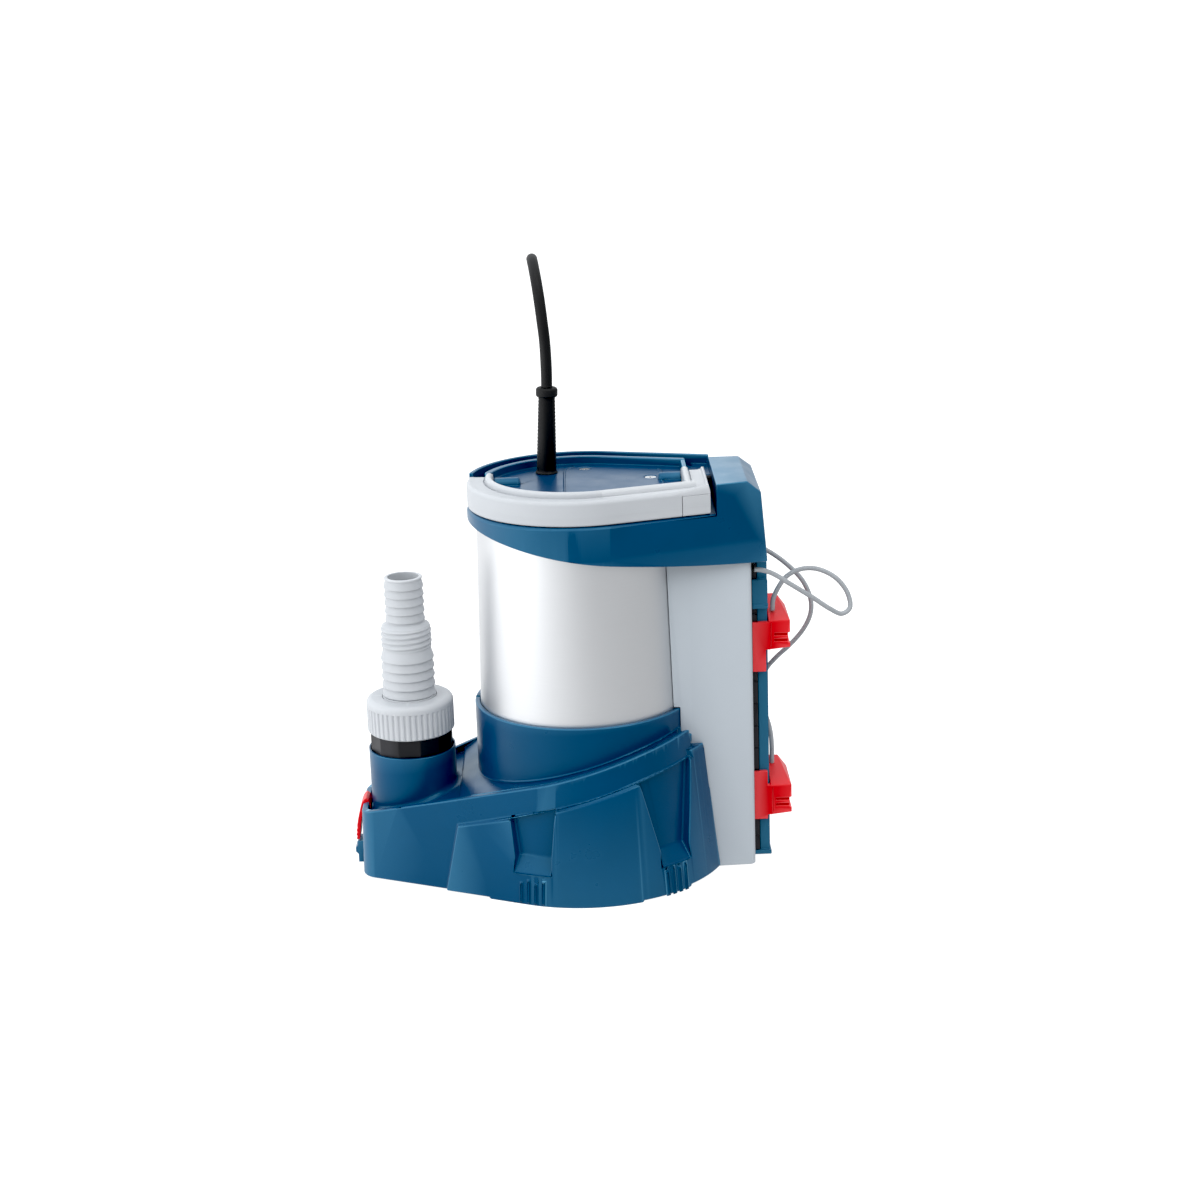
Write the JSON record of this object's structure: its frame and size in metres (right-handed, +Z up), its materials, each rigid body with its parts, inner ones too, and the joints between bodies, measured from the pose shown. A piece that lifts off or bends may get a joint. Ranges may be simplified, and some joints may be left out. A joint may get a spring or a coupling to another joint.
{
  "type": "submersible sump pump",
  "caption": "Upright submersible sump pump with a stepped hose tail, folding carrying handle, two sliding level probes and a mains cable.",
  "frame": {"origin": "on the floor, at the centre of the box around the pump without its mains cable", "axes": "+X from the discharge nose to the level probes, +Y away from the side that the carrying handle folds to, +Z up"},
  "size_m": [0.3375, 0.3762, 0.3986],
  "materials": {
    "blue_plastic": "satin moulded",
    "grey_plastic": "satin moulded",
    "housing_grey": "fine satin",
    "black_plastic": "satin moulded",
    "black_rubber": "matt rubber",
    "red_plastic": "satin moulded",
    "stainless": "brushed",
    "motor_steel": "dull grey",
    "winding": "enamelled wire",
    "brass_pin": "nickelled brass",
    "ceramic": "polished ceramic",
    "board": "lacquered circuit board",
    "lead_grey": "soft sheath"
  },
  "bodies": {
    "pump": {"base_shell": "blue_plastic", "strainer_plate": "blue_plastic", "latch_pin": "stainless", "volute_casing": "black_plastic", "wear_plate": "black_plastic", "motor_can": "motor_steel", "bearing_bracket": "motor_steel", "stator_core": "motor_steel", "winding_lower": "winding", "winding_upper": "winding", "bearing_lower": "stainless", "bearing_upper": "stainless", "seal_seat": "ceramic", "barrel_jacket": "stainless", "top_cover": "blue_plastic", "cover_screw_1": "stainless", "cover_screw_2": "stainless", "handle_pin_left": "black_plastic", "handle_pin_right": "black_plastic", "rear_housing": "housing_grey", "control_board": "board", "run_capacitor": "black_plastic", "level_relay": "black_plastic", "terminal_block": "grey_plastic", "guide_strip": "black_plastic", "sensor_rail": "blue_plastic", "upper_lead_gland": "black_rubber", "lower_lead_gland": "black_rubber", "upper_probe_lead": "lead_grey", "lower_probe_lead": "lead_grey", "discharge_nipple": "black_plastic", "hose_tail": "grey_plastic", "nut_gasket": "black_rubber", "flap_pin": "stainless", "cable_boot": "black_rubber", "power_cord": "black_rubber", "cord_coil": "black_rubber", "mains_plug": "black_rubber", "plug_pin_left": "brass_pin", "plug_pin_right": "brass_pin"},
    "rotor": {"motor_shaft": "stainless", "rotor_core": "motor_steel", "impeller": "grey_plastic", "impeller_nut": "stainless", "seal_head": "stainless"},
    "handle": {"carrying_handle": "grey_plastic", "handle_end_cap": "grey_plastic"},
    "latch": {"base_latch": "red_plastic"},
    "upper_probe_body": {"upper_probe": "red_plastic", "upper_probe_contact_near": "stainless", "upper_probe_contact_far": "stainless"},
    "lower_probe_body": {"lower_probe": "red_plastic", "lower_probe_contact_near": "stainless", "lower_probe_contact_far": "stainless"},
    "nut": {"union_nut": "grey_plastic"},
    "flap": {"check_flap": "black_rubber"}
  },
  "joints": [
    {"name": "rotor_spin", "type": "hinge", "parent": "pump", "child": "rotor", "pos_m": [-0.0104, 0, 0.1], "axis": [0, 0, 1], "continuous": true},
    {"name": "handle_swing", "type": "hinge", "parent": "pump", "child": "handle", "pos_m": [-0.0104, 0.006, 0.2575], "axis": [-1, 0, 0], "range_deg": [0, 90]},
    {"name": "latch_release", "type": "hinge", "parent": "pump", "child": "latch", "pos_m": [-0.1593, 0, 0.042], "axis": [0, 1, 0], "range_deg": [0, 20]},
    {"name": "upper_probe_slide", "type": "slide", "parent": "pump", "child": "upper_probe_body", "axis": [0, 0, 1], "range_m": [-0.035, 0.006], "deforming": ["upper_probe_lead"]},
    {"name": "lower_probe_slide", "type": "slide", "parent": "pump", "child": "lower_probe_body", "axis": [0, 0, 1], "range_m": [-0.02, 0.03], "deforming": ["lower_probe_lead"]},
    {"name": "union_nut_spin", "type": "hinge", "parent": "pump", "child": "nut", "pos_m": [-0.1269, 0, 0.105], "axis": [0, 0, 1], "continuous": true},
    {"name": "check_flap_swing", "type": "hinge", "parent": "pump", "child": "flap", "pos_m": [-0.1145, 0, 0.0722], "axis": [0, 1, 0], "range_deg": [0, 60]}
  ]
}
